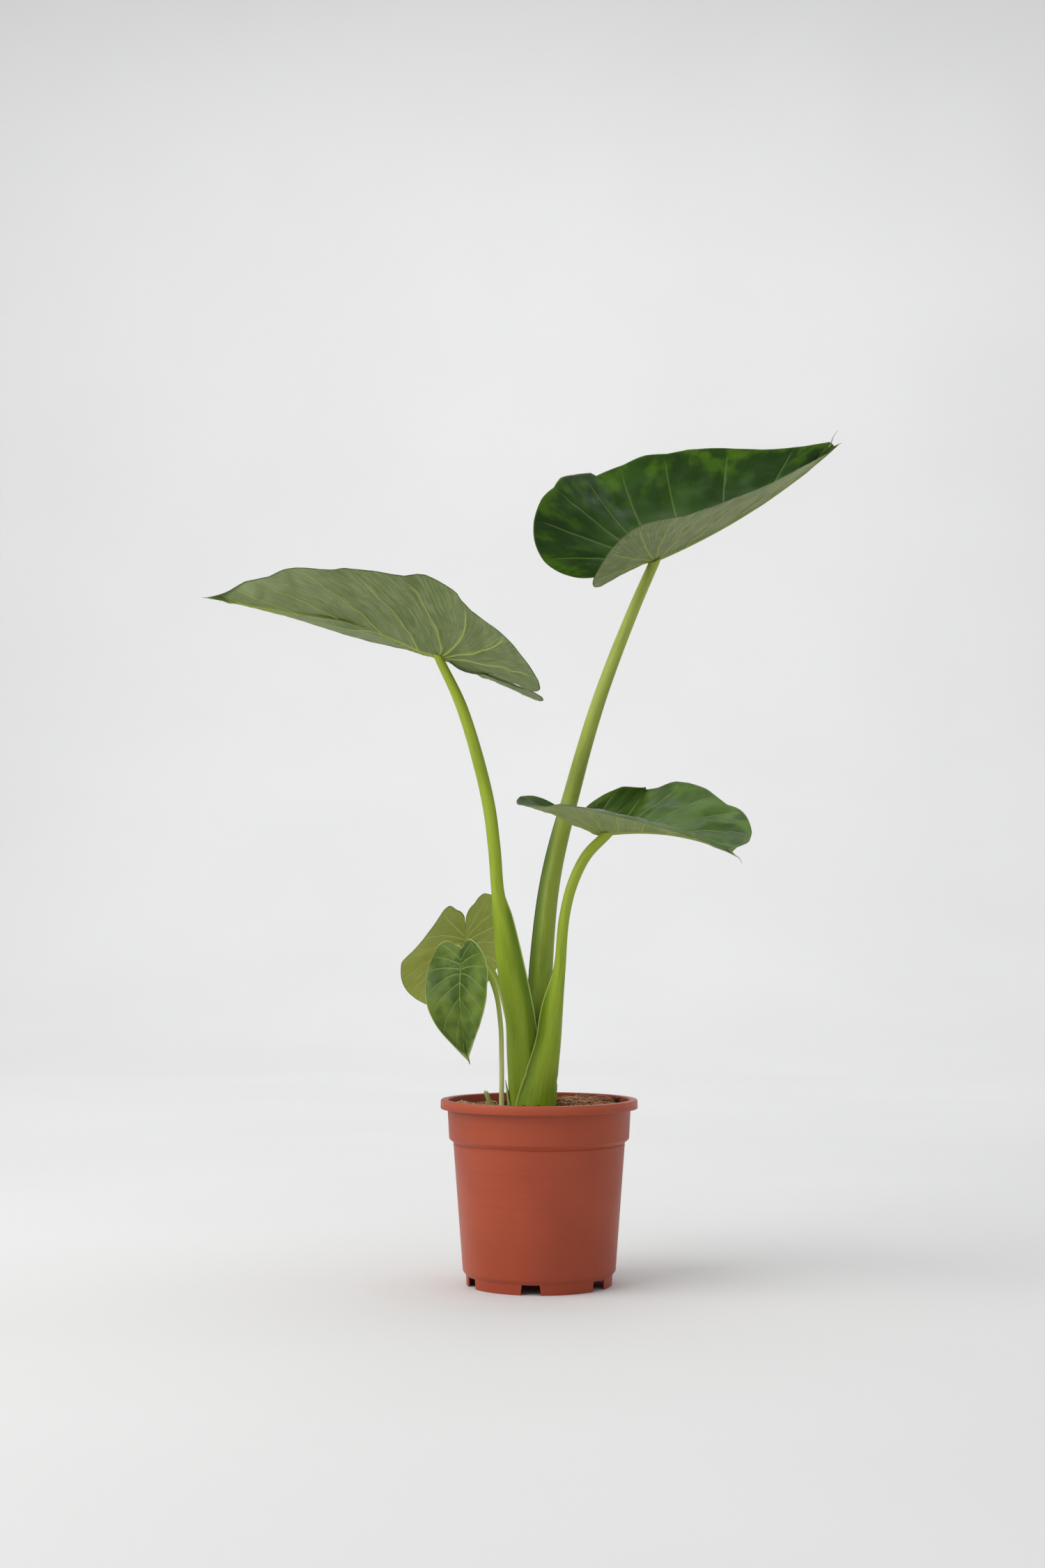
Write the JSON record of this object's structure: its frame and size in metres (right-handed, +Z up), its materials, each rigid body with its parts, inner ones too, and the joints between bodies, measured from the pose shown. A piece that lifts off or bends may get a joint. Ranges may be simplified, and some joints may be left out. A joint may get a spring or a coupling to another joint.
{
  "type": "potted plant",
  "caption": "Potted elephant-ear plant: arrow-shaped leaves, large and small, on tall green stalks rising from soil in a tapered round nursery pot.",
  "frame": {"origin": "on the pot's axis, on the surface that the pot stands on", "axes": "+Z up; +X to the right as seen from the front, the side that the small hanging leaf's upper face and the stalks' sheath edges face; +Y away from that viewer"},
  "size_m": [0.6368, 0.2395, 0.8448],
  "materials": {
    "pot_plastic": "satin",
    "soil": "matte",
    "stalk": "satin",
    "dry_scale": "matte",
    "leaf": "satin",
    "peat": "matte",
    "bark": "matte",
    "coir": "matte"
  },
  "bodies": {
    "root": {"nursery_pot": "pot_plastic", "potting_soil": "soil", "petiole_top": "stalk", "petiole_left": "stalk", "petiole_right": "stalk", "petiole_small_front": "stalk", "petiole_small_back": "stalk", "cut_petiole_stub": "stalk", "dry_sheath_scale": "dry_scale", "leaf_left": "leaf", "leaf_top": "leaf", "leaf_right": "leaf", "leaf_small_front": "leaf", "leaf_small_back": "leaf", "peat_clump": "peat", "bark_chip_1": "bark", "bark_chip_2": "bark", "bark_chip_3": "bark", "coir_tuft_right": "coir", "coir_tuft_left": "coir"}
  },
  "joints": []
}
